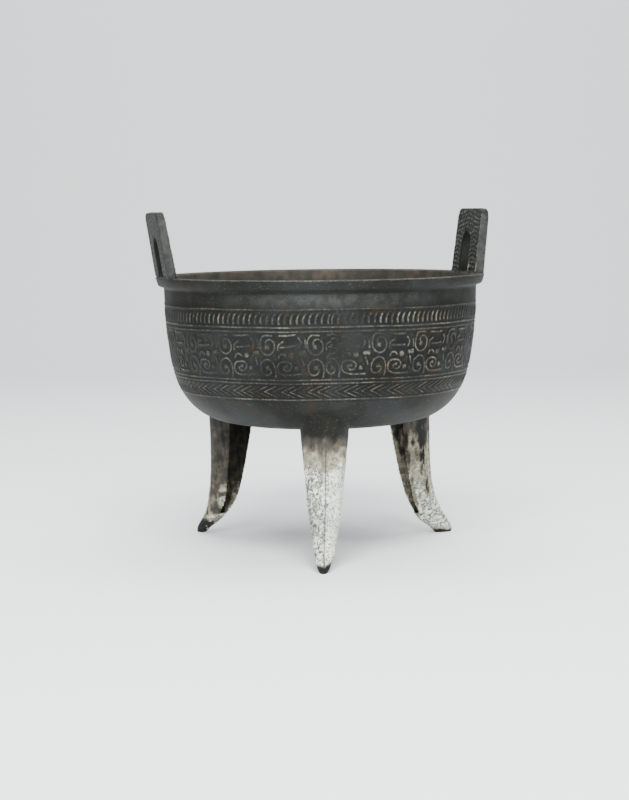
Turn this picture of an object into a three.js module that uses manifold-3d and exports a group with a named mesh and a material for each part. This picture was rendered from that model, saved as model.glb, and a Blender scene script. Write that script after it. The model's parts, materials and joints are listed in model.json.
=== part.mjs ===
// Bronze ding: a deep round bowl on three hollow-backed legs, with two loop handles standing on the lip.
// One casting, so one solid. Millimetres, +Z up, origin on the ground under the middle of the bowl,
// with one leg towards -Y.
import * as THREE from 'three';
import { mergeVertices } from 'three/addons/utils/BufferGeometryUtils.js';
import Module from 'manifold-3d';

// ---- driving dimensions ----
const rimHeight = 166.5;
const rimRadius = 100;
const bowlDepth = 91;
const wallThickness = 3;
const floorThickness = 3.2;
const lip = {
  height: 6.2,
  width: 8.2,
  edgeTaper: 1.4,
  edgeRound: 1.2,
  underside: 1.4,
  neckRadius: 94.9,
  neckStep: 0.7,
};

// Outside of the bowl under the lip: depth below the rim, then radius.
const bellyOutline = [
  [28, 93.9],
  [52, 90.7],
  [66.5, 86.3],
  [76.3, 80.2],
  [83.6, 71.4],
  [87.6, 61],
  [89.6, 44],
];

// Cast bands, as depths below the rim. A cord is a raised line round the bowl.
const cordRelief = 0.7;
const cordWidth = 1.5;
const cords = [
  { depth: 17, crests: 1 },
  { depth: 27.5, crests: 2 },
  { depth: 57.7, crests: 1 },
  { depth: 68.6, crests: 1 },
];
const crescentBand = { top: 18.2, bottom: 25.4, count: 84, width: 2.4, bulge: 1, lean: 0.6 };
const scrollBand = { top: 30.4, bottom: 54.8, units: 21, stroke: 1.6, rowFill: 0.8 };
// The marks of one scroll unit: middle and half width as shares of the unit's length.
const spiralMark = { at: 0.2, half: 0.17 };
const hookMark = { at: 0.67, half: 0.19 };
const barMark = { at: 0.7, width: 2.6, bulge: 1.5, lean: 3.2 };
const chevronBand = { top: 59.8, bottom: 66.8, count: 60, width: 2.6, bulge: 4.2, lean: 0 };
const carvingRelief = 0.8;
const carvingSink = 0.6;

// Legs: half tubes open to the axis, drawn as horizontal sections from the ground up.
const legSections = [
  // height, middle radius, half depth (radial), half width
  [0, 88.2, 4.6, 2.4],
  [3.5, 86.4, 5.9, 4],
  [9, 81.2, 7.8, 5.8],
  [15, 76.8, 8.5, 6.9],
  [24, 72.5, 9.6, 8.5],
  [36, 69.2, 10.2, 10.1],
  [52, 66.6, 11.6, 11.5],
  [70, 64.6, 13.3, 13.4],
  [80, 64.2, 13.9, 14.3],
  [91, 64, 14.2, 15],
];
const legs = {
  wall: 3.2,
  ridge: 1.1,
  ridgeFullAt: 8,
  solidFoot: 13,
  rootRadius: 65,
  toeHeight: 24,
  around: 10,
};
// The hand-set legs differ: where each stands round the bowl, how far it is twisted about its own root
// (degrees), how far out its root is set, how far its toe reaches, and the share by which its foot is
// thinner.
const legPlaces = [
  { angle: -88.7, twist: -4.5, outward: 0, toeReach: 3, footTaper: 0 },
  { angle: 30, twist: -9, outward: -1.4, toeReach: 0.4, footTaper: -0.25 },
  { angle: 150, twist: -9, outward: 1.4, toeReach: 3.1, footTaper: 0.3 },
];

// Loop handles on the lip, leaning outwards and a little slimmer at the top.
const handle = {
  width: 52,
  topWidth: 49.5,
  height: 39,
  thickness: 6.2,
  topThickness: 5.2,
  cornerCut: 5,
  openingWidth: 17,
  openingHeight: 24.5,
  rootDepth: 4.5,
};
// Where each handle stands: its turn about the axis and outward lean (degrees), and its middle radius.
const handlePlaces = [
  { turn: 12, lean: 6.7, radius: 93.3 },
  { turn: 193, lean: 9.8, radius: 94.3 },
];

const wallColumns = 36;
const cavityColumns = 30;
const wallRows = 12;
const cavityRows = 10;

// ---- helpers ----
const wasm = await Module();
wasm.setup();

const radians = THREE.MathUtils.degToRad;

function toManifold(geometry) {
  const bare = geometry.index ? geometry.toNonIndexed() : geometry.clone();
  bare.deleteAttribute('normal');
  bare.deleteAttribute('uv');
  const merged = mergeVertices(bare, 1e-4);
  const mesh = new wasm.Mesh({
    numProp: 3,
    vertProperties: new Float32Array(merged.attributes.position.array),
    triVerts: new Uint32Array(dropFlatTriangles(merged.index.array)),
  });
  return new wasm.Manifold(mesh);
}

function dropFlatTriangles(index) {
  const kept = [];
  for (let i = 0; i < index.length; i += 3) {
    const [a, b, c] = [index[i], index[i + 1], index[i + 2]];
    if (a !== b && b !== c && c !== a) {
      kept.push(a, b, c);
    }
  }
  return kept;
}

function toGeometry(solid) {
  const mesh = solid.getMesh();
  const geometry = new THREE.BufferGeometry();
  geometry.setAttribute('position', new THREE.BufferAttribute(new Float32Array(mesh.vertProperties), 3));
  geometry.setIndex(new THREE.BufferAttribute(new Uint32Array(mesh.triVerts), 1));
  return geometry;
}

// A closed skin over equal rings of points, with flat ends.
function loft(rings) {
  const count = rings[0].length;
  const index = [];
  for (let r = 0; r + 1 < rings.length; r += 1) {
    for (let i = 0; i < count; i += 1) {
      const a = r * count + i;
      const b = r * count + ((i + 1) % count);
      index.push(a, b, b + count, a, b + count, a + count);
    }
  }
  const last = (rings.length - 1) * count;
  const contour = rings[0].map((p) => new THREE.Vector2(p.x, p.y));
  for (const [a, b, c] of THREE.ShapeUtils.triangulateShape(contour, [])) {
    index.push(a, c, b);
    index.push(last + a, last + b, last + c);
  }
  const geometry = new THREE.BufferGeometry();
  geometry.setFromPoints(rings.flat());
  geometry.setIndex(index);
  return geometry;
}

// Spins an outline of (radius, height) points round the Z axis.
function spin(outline, columns) {
  const points = outline.map(([radius, height]) => new THREE.Vector2(radius, height));
  const geometry = new THREE.LatheGeometry(points, columns);
  geometry.rotateX(Math.PI / 2);
  return geometry;
}

// ---- bowl ----
const bellyCurve = new THREE.SplineCurve([
  new THREE.Vector2(0, rimHeight - bowlDepth),
  ...[...bellyOutline].reverse().map(([depth, radius]) => new THREE.Vector2(radius, rimHeight - depth)),
  new THREE.Vector2(lip.neckRadius, rimHeight - lip.height - lip.underside),
]);
const bellySamples = bellyCurve.getPoints(240);

// Outside radius of the bowl wall at a height, from the belly curve.
function wallRadius(height) {
  const above = bellySamples.findIndex((p) => p.y >= height);
  const high = bellySamples[above];
  const low = bellySamples[above - 1];
  const share = (height - low.y) / (high.y - low.y);
  return THREE.MathUtils.lerp(low.x, high.x, share);
}

function cordOutline({ depth, crests }) {
  const points = [];
  const bottom = rimHeight - depth - (crests * cordWidth) / 2;
  for (let k = 0; k <= crests * 2; k += 1) {
    const height = bottom + (k * cordWidth) / 2;
    points.push([wallRadius(height) + (k % 2 ? cordRelief : 0), height]);
  }
  return points;
}

function bowlOutline() {
  const lowest = cordOutline(cords[cords.length - 1])[0][1];
  const base = bellyCurve.getPoints(wallRows).filter((p) => p.y < lowest - 0.6 && p.x > 0);
  const lipBottom = rimHeight - lip.height;
  const scrollMiddle = rimHeight - (scrollBand.top + scrollBand.bottom) / 2;
  const upward = [...cords].reverse().map((cord) => cordOutline(cord));
  upward.splice(2, 0, [[wallRadius(scrollMiddle), scrollMiddle]]);
  return [
    [0, rimHeight - bowlDepth],
    ...base.map((p) => [p.x, p.y]),
    ...upward.flat(),
    [lip.neckRadius, lipBottom - lip.underside],
    [lip.neckRadius + lip.neckStep, lipBottom],
    [rimRadius - lip.edgeTaper - lip.edgeRound, lipBottom],
    [rimRadius - lip.edgeTaper, lipBottom + lip.edgeRound],
    [rimRadius, rimHeight],
    [0, rimHeight],
  ];
}

function cavityOutline() {
  const inside = bellyCurve.getPoints(cavityRows).map((p, i, all) => {
    const next = all[Math.min(i + 1, all.length - 1)];
    const tangent = new THREE.Vector2().subVectors(next, all[Math.max(i - 1, 0)]);
    tangent.normalize();
    const thickness = THREE.MathUtils.lerp(floorThickness, wallThickness, i / (all.length - 1));
    return [Math.max(p.x - tangent.y * thickness, 0), p.y + tangent.x * thickness];
  });
  const mouth = rimRadius - lip.width;
  const above = rimHeight + 1;
  return [...inside.slice(0, -1), [mouth, rimHeight - lip.height], [mouth, above], [0, above]];
}

// ---- carving ----
// A point of the wall, by distance round the bowl and depth below the rim, raised by its rise.
function onWall(distance, depth, rise, radius) {
  const height = rimHeight - depth;
  const angle = distance / radius;
  const reach = wallRadius(height) + rise;
  return new THREE.Vector3(Math.cos(angle) * reach, Math.sin(angle) * reach, height);
}

function closedShape(vertices, index) {
  const geometry = new THREE.BufferGeometry().setFromPoints(vertices);
  geometry.setIndex(index);
  return toManifold(geometry);
}

// A bent leaf that rises to one point: two ends, a bulge to the left, and the ridge in the middle.
function leaf(middle, { top, bottom, width, bulge, lean }, radius) {
  const half = (top + bottom) / 2;
  const left = middle - bulge;
  const vertices = [
    onWall(middle + lean, top, -carvingSink / 2, radius),
    onWall(left + width / 2, half, -carvingSink, radius),
    onWall(middle - lean, bottom, -carvingSink / 2, radius),
    onWall(left - width / 2, half, -carvingSink, radius),
    onWall(left, half, carvingRelief, radius),
  ];
  return closedShape(vertices, [0, 4, 1, 1, 4, 2, 2, 4, 3, 3, 4, 0, 0, 1, 3, 1, 2, 3]);
}

// A raised line through points on the wall, with a sharp ridge that runs down at both ends.
function line(points, width, radius) {
  const vertices = [];
  points.forEach(([distance, depth], i) => {
    const before = points[Math.max(i - 1, 0)];
    const after = points[Math.min(i + 1, points.length - 1)];
    const along = new THREE.Vector2(after[0] - before[0], after[1] - before[1]).setLength(width / 2);
    const isEnd = i === 0 || i === points.length - 1;
    vertices.push(
      onWall(distance - along.y, depth + along.x, -carvingSink, radius),
      onWall(distance, depth, isEnd ? carvingRelief / 2 : carvingRelief, radius),
      onWall(distance + along.y, depth - along.x, -carvingSink, radius),
    );
  });
  const index = [];
  for (let i = 0; i + 1 < points.length; i += 1) {
    for (let side = 0; side < 3; side += 1) {
      const a = i * 3 + side;
      const b = i * 3 + ((side + 1) % 3);
      index.push(a, b + 3, b, a, a + 3, b + 3);
    }
  }
  const last = vertices.length - 3;
  index.push(0, 1, 2, last, last + 2, last + 1);
  return closedShape(vertices, index);
}

function bandOfLeaves(band) {
  const radius = wallRadius(rimHeight - (band.top + band.bottom) / 2);
  const pitch = (2 * Math.PI * radius) / band.count;
  return Array.from({ length: band.count }, (_, i) => leaf(i * pitch, band, radius));
}

// A squared scroll: down from its middle, then once round, ending in a long outer limb.
const scrollTurns = [
  [0.1, -0.25],
  [0.1, 0.9],
  [-0.95, 0.9],
  [-0.95, -0.95],
  [0.95, -0.95],
  [0.95, 0.95],
];
// A plain hook, open below.
const hookTurns = [
  [-0.95, 0.2],
  [-0.95, -0.9],
  [0.95, -0.9],
  [0.95, 0.95],
];

function scrolls() {
  const { top, bottom, units, stroke, rowFill } = scrollBand;
  const radius = wallRadius(rimHeight - (top + bottom) / 2);
  const pitch = (2 * Math.PI * radius) / units;
  const halfRow = (bottom - top) / 4;
  const upper = top + halfRow;
  const lower = bottom - halfRow;
  const reach = rowFill * halfRow;
  const bar = { ...barMark, top: upper - reach, bottom: upper + reach };
  const draw = (turns, left, mark, y, halfHeight) => {
    const x = left + mark.at * pitch;
    return line(turns.map(([u, v]) => [x + u * mark.half * pitch, y + v * halfHeight]), stroke, radius);
  };
  return Array.from({ length: units }, (_, i) => i * pitch).flatMap((left) => [
    draw(scrollTurns, left, spiralMark, upper, reach),
    draw([...scrollTurns].reverse(), left, spiralMark, lower, -reach),
    draw(hookTurns, left, hookMark, lower, reach),
    leaf(left + barMark.at * pitch, bar, radius),
  ]);
}

// ---- legs ----
// One ring of points for each section, by section(height, middle, depth, width) of that leg.
function legRings({ toeReach, footTaper }, section) {
  return legSections.map(([height, middle, depth, width]) => {
    const toe = THREE.MathUtils.clamp(1 - height / legs.toeHeight, 0, 1);
    return section(height, middle + toeReach * toe ** 1.5, depth * (1 - footTaper * toe), width);
  });
}

function legSolid(place) {
  const outer = legRings(place, (height, middle, depth, width) => {
    const ridge = legs.ridge * Math.min(1, width / legs.ridgeFullAt);
    return Array.from({ length: legs.around }, (_, i) => {
      const a = (2 * Math.PI * i) / legs.around;
      return new THREE.Vector3(middle + Math.cos(a) * depth + (i ? 0 : ridge), Math.sin(a) * width, height);
    });
  });
  const hollow = legRings(place, (height, middle, depth, width) => {
    const inner = width - Math.min(legs.wall, width / 2);
    const ring = [-80, -35, 35, 80].map((degrees) => {
      const a = radians(degrees);
      return [middle + Math.cos(a) * (depth - legs.wall), Math.sin(a) * inner];
    });
    ring.push([middle - 1.5 * depth, inner]);
    ring.push([middle - 1.5 * depth, -inner]);
    return ring.map(([x, y]) => new THREE.Vector3(x, y, height));
  }).filter((ring) => ring[0].z > legs.solidFoot);
  const solid = toManifold(loft(outer)).subtract(toManifold(loft(hollow)));
  const turned = solid.translate([-legs.rootRadius, 0, 0]).rotate([0, 0, place.twist]);
  return turned.translate([legs.rootRadius + place.outward, 0, 0]).rotate([0, 0, place.angle]);
}

// ---- handles ----
function handleSolid({ turn, lean, radius }) {
  const { width, height, thickness, cornerCut, openingWidth, openingHeight, rootDepth } = handle;
  const half = width / 2;
  const spring = openingHeight - openingWidth / 2;
  const shape = new THREE.Shape();
  shape.moveTo(-half, -rootDepth);
  shape.lineTo(-openingWidth / 2, -rootDepth);
  shape.lineTo(-openingWidth / 2, spring);
  shape.absarc(0, spring, openingWidth / 2, Math.PI, 0, true);
  shape.lineTo(openingWidth / 2, -rootDepth);
  shape.lineTo(half, -rootDepth);
  shape.lineTo(half, height - cornerCut);
  shape.lineTo(half - cornerCut * 0.4, height - cornerCut * 0.3);
  shape.lineTo(half - cornerCut, height);
  shape.lineTo(-half + cornerCut, height);
  shape.lineTo(-half + cornerCut * 0.4, height - cornerCut * 0.3);
  shape.lineTo(-half, height - cornerCut);
  shape.closePath();
  const slab = { depth: thickness, bevelEnabled: false, curveSegments: 4 };
  const geometry = new THREE.ExtrudeGeometry(shape, slab);
  // Shape x runs along the rim, shape y up, and the extrusion points outwards.
  geometry.translate(0, 0, -thickness / 2);
  const corners = geometry.attributes.position;
  for (let i = 0; i < corners.count; i += 1) {
    const rise = Math.max(corners.getY(i), 0) / height;
    const slimX = THREE.MathUtils.lerp(1, handle.topWidth / width, rise);
    const slimZ = THREE.MathUtils.lerp(1, handle.topThickness / thickness, rise);
    corners.setXYZ(i, corners.getX(i) * slimX, corners.getY(i), corners.getZ(i) * slimZ);
  }
  geometry.rotateX(Math.PI / 2);
  geometry.rotateZ(Math.PI / 2);
  geometry.rotateY(radians(lean));
  geometry.translate(radius, 0, rimHeight);
  geometry.rotateZ(radians(turn));
  return toManifold(geometry);
}

// ---- the casting ----
function dingSolid() {
  let casting = toManifold(spin(bowlOutline(), wallColumns));
  for (const raised of [...bandOfLeaves(crescentBand), ...bandOfLeaves(chevronBand), ...scrolls()]) {
    casting = casting.add(raised);
  }
  for (const place of legPlaces) {
    casting = casting.add(legSolid(place));
  }
  casting = casting.subtract(toManifold(spin(cavityOutline(), cavityColumns)));
  for (const place of handlePlaces) {
    casting = casting.add(handleSolid(place));
  }
  return casting;
}

const bronze = new THREE.MeshStandardMaterial({ color: 0x4a4a42, roughness: 0.55, metalness: 0.7 });
bronze.name = 'patinated_bronze';

const ding = new THREE.Mesh(toGeometry(dingSolid()), bronze);
ding.name = 'ding';

const vessel = new THREE.Group();
vessel.add(ding);

export default vessel;
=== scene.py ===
# Bronze ding, one casting: a deep round bowl with banded relief, two loop handles on its lip and three legs
# with hollow backs. Metres, +Z up, with the origin on the ground under the middle of the bowl.
import json
import math

import bmesh
import bpy
import numpy as np
from mathutils import Matrix, Vector, noise

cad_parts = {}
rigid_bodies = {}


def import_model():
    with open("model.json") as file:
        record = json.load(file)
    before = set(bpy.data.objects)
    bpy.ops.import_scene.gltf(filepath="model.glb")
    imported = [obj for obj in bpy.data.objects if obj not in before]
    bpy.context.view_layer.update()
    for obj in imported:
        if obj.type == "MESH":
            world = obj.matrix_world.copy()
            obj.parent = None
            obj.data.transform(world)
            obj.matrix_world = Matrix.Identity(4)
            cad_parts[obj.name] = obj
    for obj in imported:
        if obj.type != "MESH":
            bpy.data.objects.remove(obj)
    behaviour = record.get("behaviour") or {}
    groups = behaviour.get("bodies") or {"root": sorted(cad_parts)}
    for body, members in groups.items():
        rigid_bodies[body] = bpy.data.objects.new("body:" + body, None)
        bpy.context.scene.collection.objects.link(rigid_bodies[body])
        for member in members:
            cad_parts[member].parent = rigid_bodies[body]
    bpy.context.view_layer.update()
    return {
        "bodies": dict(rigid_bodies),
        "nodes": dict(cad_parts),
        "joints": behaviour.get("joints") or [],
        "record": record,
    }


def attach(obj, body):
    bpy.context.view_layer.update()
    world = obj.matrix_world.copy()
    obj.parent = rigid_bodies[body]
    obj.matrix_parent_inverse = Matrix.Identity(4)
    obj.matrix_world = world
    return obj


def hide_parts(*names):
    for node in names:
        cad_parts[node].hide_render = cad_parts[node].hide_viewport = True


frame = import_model()

mm = 0.001
mounts = {m["name"]: m for m in frame["record"]["mounts"]}


# ---- Camera ----
# A long lens a little over a metre away, at about the height of the handles and tipped down to the feet.
rim_height = mounts["rim_top"]["pos_m"][2]
rim_radius = mounts["rim_top"]["dims"]["r_mm"] * mm
camera_distance = 1.133
camera_above_rim = 39.9 * mm
camera_aside = -2.8 * mm
camera_tip, camera_roll = 5.89, 0.65  # degrees down from level, and round the line of sight

camera_data = bpy.data.cameras.new("camera")
camera_data.sensor_width = 36
camera_data.lens = 83.6
camera_data.clip_start = 0.05
camera = bpy.data.objects.new("camera", camera_data)
camera.location = (camera_aside, -camera_distance, rim_height + camera_above_rim)
camera.rotation_euler = (math.radians(90 - camera_tip), math.radians(camera_roll), 0)
bpy.context.collection.objects.link(camera)
bpy.context.scene.camera = camera


# ---- Bowl ----
# The body of the casting: a thin-walled bowl with a thick turned-out lip. Its bands were pressed into the
# clay mould with small stamps, block by block, so their lines are low, soft-edged and a little uneven.
bowl_depth = 91 * mm
wall_thickness = 3 * mm
lip_height = 6.2 * mm
neck_radius = 94.8 * mm
lip_radius = rim_radius - 0.25 * mm
mouth_radius = rim_radius - 8.2 * mm
bands_top, bands_bottom = 15 * mm, 71 * mm
panels_around = 60
columns_per_panel = 22
row_spacing = 0.42 * mm
bowl_faces_kept = 0.155

belly_keys = [
    # depth below the rim, radius
    (7.6 * mm, 94.9 * mm),
    (28 * mm, 93.9 * mm),
    (52 * mm, 90.7 * mm),
    (66.5 * mm, 86.3 * mm),
    (76.3 * mm, 80.2 * mm),
    (83.6 * mm, 71.4 * mm),
    (87.6 * mm, 61 * mm),
    (89.6 * mm, 44 * mm),
    (bowl_depth, 0),
]


def smooth_through(keys, steps):
    """Points of a smooth curve through the keys, with that many steps between each two."""
    keys = np.array(keys)
    ends = np.vstack([2 * keys[0] - keys[1], keys, 2 * keys[-1] - keys[-2]])
    t = np.linspace(0, 1, steps, endpoint=False)[:, None]
    curve = []
    for a, b, c, d in zip(ends, ends[1:], ends[2:], ends[3:]):
        curve.append(
            0.5 * (2 * b + (c - a) * t + (2 * a - 5 * b + 4 * c - d) * t**2 + (3 * b - a - 3 * c + d) * t**3)
        )
    return np.vstack(curve + [keys[-1:]])


belly = smooth_through(belly_keys, 40)
wall_line = belly[np.argsort(belly[:, 0])]


def wall_radius(depth):
    """Outside radius of the smooth wall at a depth below the rim."""
    return np.interp(depth, wall_line[:, 0], wall_line[:, 1])


def spaced(points, spacing):
    """The same line with its points that far apart, its first point left out."""
    points = np.array(points, dtype=float)
    run = np.concatenate([[0], np.cumsum(np.linalg.norm(np.diff(points, axis=0), axis=1))])
    count = max(1, round(run[-1] / spacing))
    at = np.linspace(0, run[-1], count + 1)[1:]
    return np.column_stack([np.interp(at, run, points[:, i]) for i in range(points.shape[1])])


def bowl_outline():
    """(radius, depth) points from the middle of the underside, out, up, over the lip and down inside."""
    outside = belly[::-1, ::-1]
    under = outside[outside[:, 1] > bands_bottom]
    banded = outside[(outside[:, 1] <= bands_bottom) & (outside[:, 1] >= bands_top)]
    neck = np.vstack([outside[outside[:, 1] < bands_top], [(neck_radius, lip_height + 1.3 * mm)]])
    lip = [
        (neck_radius + 0.5 * mm, lip_height + 0.4 * mm),
        (neck_radius + 1.3 * mm, lip_height),
        (lip_radius - 2.8 * mm, lip_height - 0.1 * mm),
        (lip_radius - 1.7 * mm, lip_height - 0.6 * mm),
        (lip_radius - 1.1 * mm, lip_height - 1.6 * mm),
        (lip_radius - 0.1 * mm, 1.1 * mm),
        (lip_radius - 0.15 * mm, 0.45 * mm),
        (lip_radius - 0.7 * mm, 0.05 * mm),
        (lip_radius - 1.4 * mm, 0),
        (mouth_radius + 1.0 * mm, 0.1 * mm),
        (mouth_radius + 0.25 * mm, 0.5 * mm),
        (mouth_radius, 1.3 * mm),
    ]
    slope = np.gradient(belly, axis=0)
    slope /= np.linalg.norm(slope, axis=1)[:, None]
    inside = np.column_stack([
        belly[:, 1] - slope[:, 0] * wall_thickness,
        belly[:, 0] + slope[:, 1] * wall_thickness,
    ])
    inside = inside[(inside[:, 0] > 0.4 * mm) & (inside[:, 1] > 11 * mm)]
    floor_depth = bowl_depth - wall_thickness
    return np.vstack([
        [(0, bowl_depth)],
        spaced(np.vstack([[(0, bowl_depth)], under]), 1.6 * mm),
        spaced(np.vstack([under[-1:], banded]), row_spacing),
        spaced(np.vstack([banded[-1:], neck]), 1.0 * mm),
        spaced(np.vstack([neck[-1:], lip]), 0.8 * mm),
        spaced(np.vstack([lip[-1:], inside, [(0, floor_depth)]]), 3 * mm),
    ])


def new_object(name, bm):
    """An object at the origin that holds the mesh of bm."""
    mesh = bpy.data.meshes.new(name)
    bm.to_mesh(mesh)
    bm.free()
    piece = bpy.data.objects.new(name, mesh)
    bpy.context.collection.objects.link(piece)
    return piece


def settle(piece):
    """Makes the piece's modifiers part of its mesh."""
    graph = bpy.context.evaluated_depsgraph_get()
    mesh = bpy.data.meshes.new_from_object(piece.evaluated_get(graph))
    old = piece.data
    piece.modifiers.clear()
    piece.data = mesh
    bpy.data.meshes.remove(old)
    return piece


def fewer_faces(piece, share):
    """Keeps only that share of the piece's faces, where they tell most."""
    piece.modifiers.new("fewer_faces", "DECIMATE").ratio = share
    settle(piece)


def combine(piece, other, operation):
    """Joins or cuts the piece with another solid, which is then deleted."""
    weld = piece.modifiers.new("weld", "BOOLEAN")
    weld.object = other
    weld.operation = operation
    weld.solver = "MANIFOLD"
    settle(piece)
    bpy.data.meshes.remove(other.data)
    return piece


def spin_solid(name, outline, steps, columns=1):
    """A closed solid of revolution about Z from (radius, depth below the rim) points, columns to a step."""
    bm = bmesh.new()
    merge_distance = 0.002 * mm
    verts = [bm.verts.new((radius, 0, rim_height - depth)) for radius, depth in outline]
    edges = [bm.edges.new(pair) for pair in zip(verts, verts[1:])]
    bmesh.ops.spin(
        bm, geom=verts + edges, cent=(0, 0, 0), axis=(0, 0, 1), dvec=(0, 0, 0),
        angle=2 * math.pi, steps=steps, use_merge=True,
    )
    bmesh.ops.remove_doubles(bm, verts=bm.verts, dist=merge_distance)
    if columns > 1:
        step = 2 * math.pi / steps
        hoops = []
        for edge in bm.edges:
            start, end = (vert.co for vert in edge.verts)
            level = abs(start.z - end.z) < merge_distance / 2
            if level and abs(start.xy.length - end.xy.length) < merge_distance / 2:
                hoops.append(edge)
        bmesh.ops.subdivide_edges(bm, edges=hoops, cuts=columns - 1, use_grid_fill=True)
        for vert in bm.verts:
            off = math.atan2(vert.co.y, vert.co.x) % step - step / 2
            vert.co.xy *= math.cos(off) / math.cos(step / 2)
    bmesh.ops.recalc_face_normals(bm, faces=bm.faces)
    return new_object(name, bm)


# Band ornament. Angles run from the front of the vessel (-Y) towards +X, in degrees. Three mould sections
# meet at seams, and the stamps start a little past the seam in each.
section_angle = 120
first_seam = 3.4
section_shift = (-0.1, 5.0, 11.5)
cord_lines = (
    # depth below the rim, half width, height
    (16.6 * mm, 0.75 * mm, 0.5 * mm),
    (26.6 * mm, 0.75 * mm, 0.6 * mm),
    (29.0 * mm, 0.7 * mm, 0.5 * mm),
    (56.6 * mm, 0.7 * mm, 0.55 * mm),
    (58.7 * mm, 0.7 * mm, 0.55 * mm),
    (68.2 * mm, 0.8 * mm, 0.6 * mm),
)
line_height = 0.55 * mm
crescent_height = line_height * 1.2
crescent_count, crescent_top, crescent_bottom = 168, 18.3 * mm, 25.4 * mm
chevron_count, chevron_top, chevron_bottom = 108, 60.0 * mm, 66.9 * mm
unit_count, scroll_top, scroll_bottom = 21, 30.2 * mm, 55.2 * mm
seam_height, seam_half_width, seam_top, seam_radius = 0.2 * mm, 0.8 * mm, 27 * mm, 90 * mm
band_radius = 92 * mm
stroke_half_width = 0.78  # millimetres, as the stamp's step
stamp_step = 0.1
crescent_wear = np.array([
    # angle from the front, share of the crescents' height that is left
    (-180, 0.85), (-62, 0.55), (-48, 1), (-28, 1), (-20, 0.65), (-8, 1), (3, 0.95), (8, 0.45), (15, 0.55),
    (21, 1.15), (42, 1.15), (50, 0.75), (75, 0.6), (110, 0.85), (180, 0.85),
])
rubbed_places = (
    # angle from the front, how far it spreads, the depth where it ends, how much of the scrolls it takes
    (-42, 24, bowl_depth, 0.22),
    (11, 6, 44 * mm, 0.45),
)


def scroll_strokes():
    """The lines of one stamp, in millimetres from its top left corner, y down."""
    return [
        # a tall squared spiral with a pellet in it, above another that winds the other way
        [(7.5, 0.7), (3.2, 0.7), (1.4, 2.7), (0.75, 6.1), (1.4, 9.5), (4.3, 11.7), (7.2, 11.1), (9.2, 8.6),
         (9.2, 5.0), (7.2, 3.0), (4.9, 3.3), (4.0, 5.2), (4.6, 7.5)],
        [(9.0, 24.9), (9.5, 20.2), (8.0, 15.7), (4.9, 14.2), (1.4, 16.2), (0.5, 19.6), (1.4, 22.4),
         (3.7, 23.4), (6.0, 22.4), (6.6, 20.2), (4.3, 19.3)],
        # bars, a bent bar and a small arch
        [(12.0, 0.6), (16.6, 0.8), (21.2, 0.5)],
        [(14.2, 4.1), (11.7, 5.8), (11.3, 8.9)],
        [(12.8, 7.3), (17.0, 7.2), (21.2, 6.9)],
        [(11.6, 13.2), (12.6, 11.5), (14.6, 11.2), (16.0, 12.4)],
        # a round scroll on a long foot
        [(24.6, 23.0), (16.2, 23.3), (12.3, 22.4), (10.8, 20.2), (11.2, 17.1), (13.4, 15.7), (17.3, 15.8),
         (19.1, 17.9), (17.9, 20.4), (15.4, 20.8), (14.1, 19.0), (16.2, 17.9)],
        # the filling between two stamps
        [(22.9, 2.4), (24.4, 5.0), (23.2, 7.8)],
        [(26.8, 3.8), (27.1, 8.3)],
        [(24.9, 13.8), (26.1, 17.7)],
    ]


scroll_pellets = (
    # middle of a pellet in the stamp, and its size
    (4.9, 7.3, 0.9), (4.6, 19.3, 0.8), (16.1, 18.2, 0.5), (19.2, 12.1, 1.1),
    (21.8, 19.6, 0.8), (24.4, 11.2, 0.8), (26.4, 11, 0.9),
)


def scroll_map(step):
    """Height of one stamp's lines, from 0 to 1, on a grid with that step in millimetres."""
    width = 2 * np.pi * band_radius / mm / unit_count
    height = (scroll_bottom - scroll_top) / mm
    gx, gy = np.meshgrid(np.arange(0, width, step), np.arange(0, height + step, step))
    distance = np.full(gx.shape, 9.0)
    for stroke in scroll_strokes():
        curve = smooth_through(stroke, 4)
        for (ax, ay), (bx, by) in zip(curve, curve[1:]):
            dx, dy = bx - ax, by - ay
            share = np.clip(((gx - ax) * dx + (gy - ay) * dy) / (dx * dx + dy * dy + 1e-9), 0, 1)
            distance = np.minimum(distance, np.hypot(gx - ax - share * dx, gy - ay - share * dy))
    for x, y, size in scroll_pellets:
        distance = np.minimum(distance, np.maximum(np.hypot(gx - x, gy - y) - size, 0))
    return np.clip(1.2 - distance / stroke_half_width, 0, 1)


stamp = scroll_map(stamp_step)


def ridge(distance, half_width):
    """A soft-edged ridge, 1 on its line and 0 at its half width."""
    return np.clip(1 - (np.abs(distance) / half_width) ** 1.6, 0, 1)


def from_front(angle):
    """The same angle in degrees, between -180 and 180."""
    return (angle + 180) % 360 - 180


def rubbed(angle, depth):
    """How much of the scrolls' height is left by wear, at angles in degrees and depths."""
    turn, low = np.radians(angle), depth / (9 * mm)
    left = 0.74 + 0.2 * np.sin(9 * turn + 1.3 * low) * np.sin(14 * turn - low + 2)
    left = left + 0.12 * np.sin(5 * turn + low)
    for middle, spread, end, loss in rubbed_places:
        near = np.exp(-((from_front(angle) - middle) / spread) ** 2)
        left = left - loss * near * np.clip((end - depth) / (6 * mm), 0, 1)
    return np.clip(left, 0.15, 1)


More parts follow.
